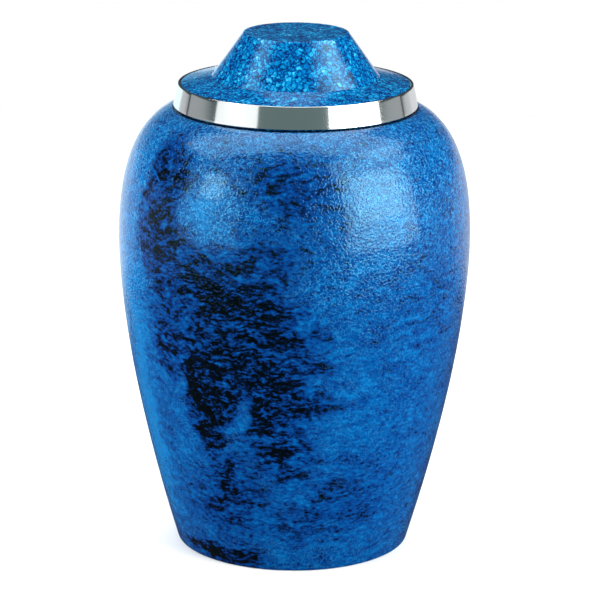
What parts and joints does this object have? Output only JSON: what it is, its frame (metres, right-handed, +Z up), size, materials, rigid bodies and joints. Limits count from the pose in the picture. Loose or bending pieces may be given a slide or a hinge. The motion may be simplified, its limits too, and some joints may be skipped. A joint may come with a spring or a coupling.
{
  "type": "funeral urn",
  "caption": "Lidded cremation urn: a shouldered round vessel tapering to its foot, a polished ring round the lid's edge and a flat-topped conical knob.",
  "frame": {"origin": "centre of the foot ring's underside, on the surface that the urn stands on", "axes": "+Z up the axis that all pieces are turned round, from the foot to the knob"},
  "size_m": [0.1714, 0.1714, 0.254],
  "materials": {
    "marbled_enamel": "gloss enamel on cast aluminium, azure sponged with navy and black clouds",
    "marbled_enamel_lid": "gloss enamel on cast aluminium, azure cells netted with navy",
    "polished_band": "turned and polished bare metal"
  },
  "bodies": {
    "root": {"body": "marbled_enamel", "lid": "marbled_enamel_lid", "rim_band": "polished_band"}
  },
  "joints": []
}
